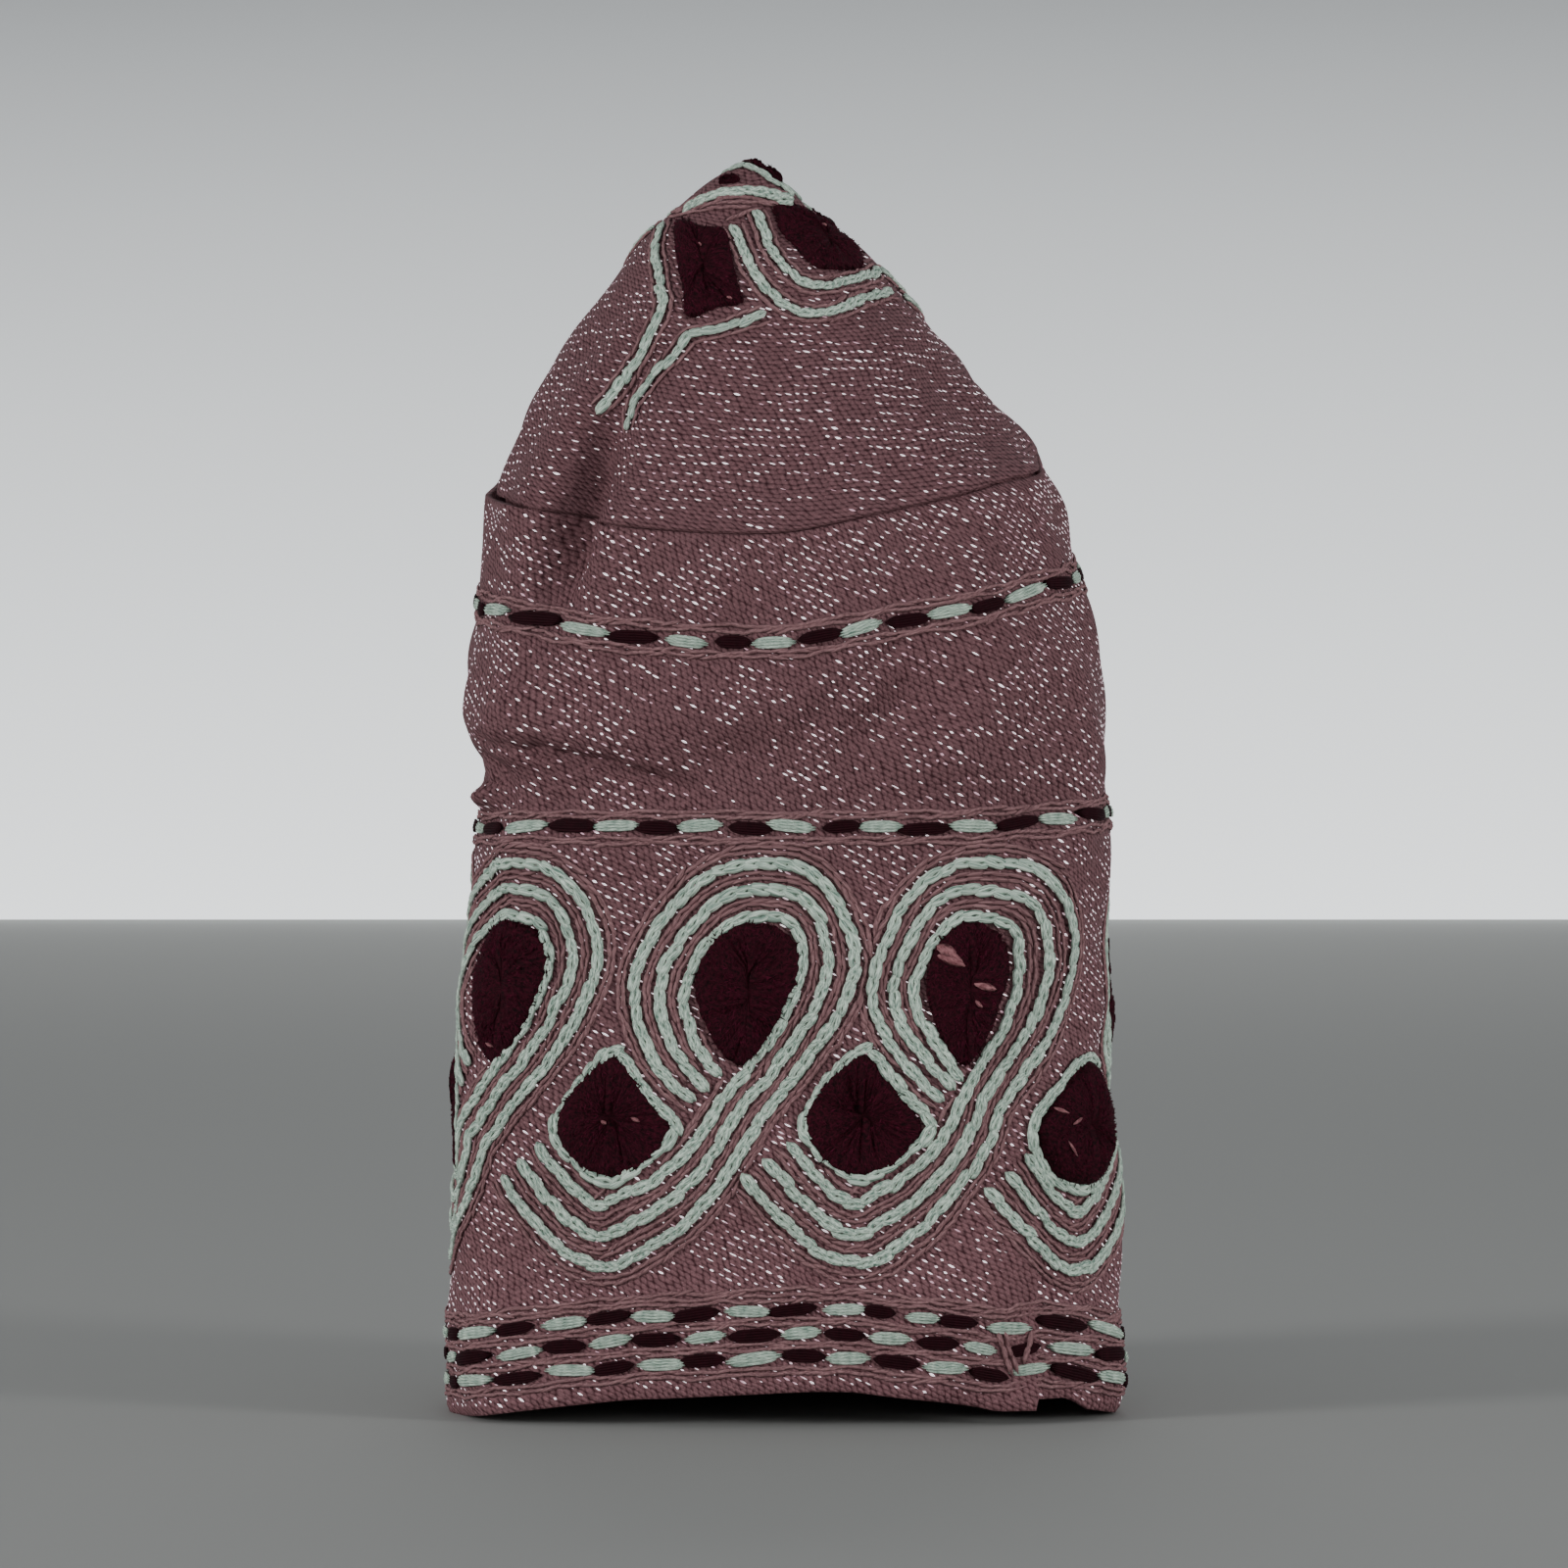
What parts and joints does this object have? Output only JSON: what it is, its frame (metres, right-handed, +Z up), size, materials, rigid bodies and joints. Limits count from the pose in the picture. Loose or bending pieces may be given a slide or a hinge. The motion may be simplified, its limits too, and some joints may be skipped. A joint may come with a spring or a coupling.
{
  "type": "embroidered fila cap",
  "caption": "Soft brimless fila cap of woven cloth, standing on its rim with a pointed folded crown, a looped embroidered band and padded flowers.",
  "frame": {"origin": "middle of the cap's box, on the surface that its rim stands on", "axes": "+Z up along the cap's height, -Y towards the side seen from the front, +X to the viewer's right from there"},
  "size_m": [0.1742, 0.168, 0.326],
  "materials": {
    "mauve_cloth": "matte woven cloth with fine glinting floats",
    "mint_thread": "soft lustrous chain stitch",
    "mauve_thread": "soft chain stitch",
    "maroon_thread": "deep padded satin stitch"
  },
  "bodies": {
    "root": {"side_wall": "mauve_cloth", "crown": "mauve_cloth", "teardrop_pad_1": "maroon_thread", "teardrop_pad_2": "maroon_thread", "teardrop_pad_3": "maroon_thread", "teardrop_pad_4": "maroon_thread", "teardrop_pad_5": "maroon_thread", "teardrop_pad_6": "maroon_thread", "teardrop_pad_7": "maroon_thread", "teardrop_pad_8": "maroon_thread", "teardrop_pad_9": "maroon_thread", "lozenge_pad_1": "maroon_thread", "lozenge_pad_2": "maroon_thread", "lozenge_pad_3": "maroon_thread", "lozenge_pad_4": "maroon_thread", "lozenge_pad_5": "maroon_thread", "lozenge_pad_6": "maroon_thread", "lozenge_pad_7": "maroon_thread", "lozenge_pad_8": "maroon_thread", "lozenge_pad_9": "maroon_thread", "crown_pad_1": "maroon_thread", "crown_pad_2": "maroon_thread", "crown_pad_3": "maroon_thread", "crown_pad_4": "maroon_thread", "crown_pad_5": "maroon_thread"}
  },
  "joints": []
}
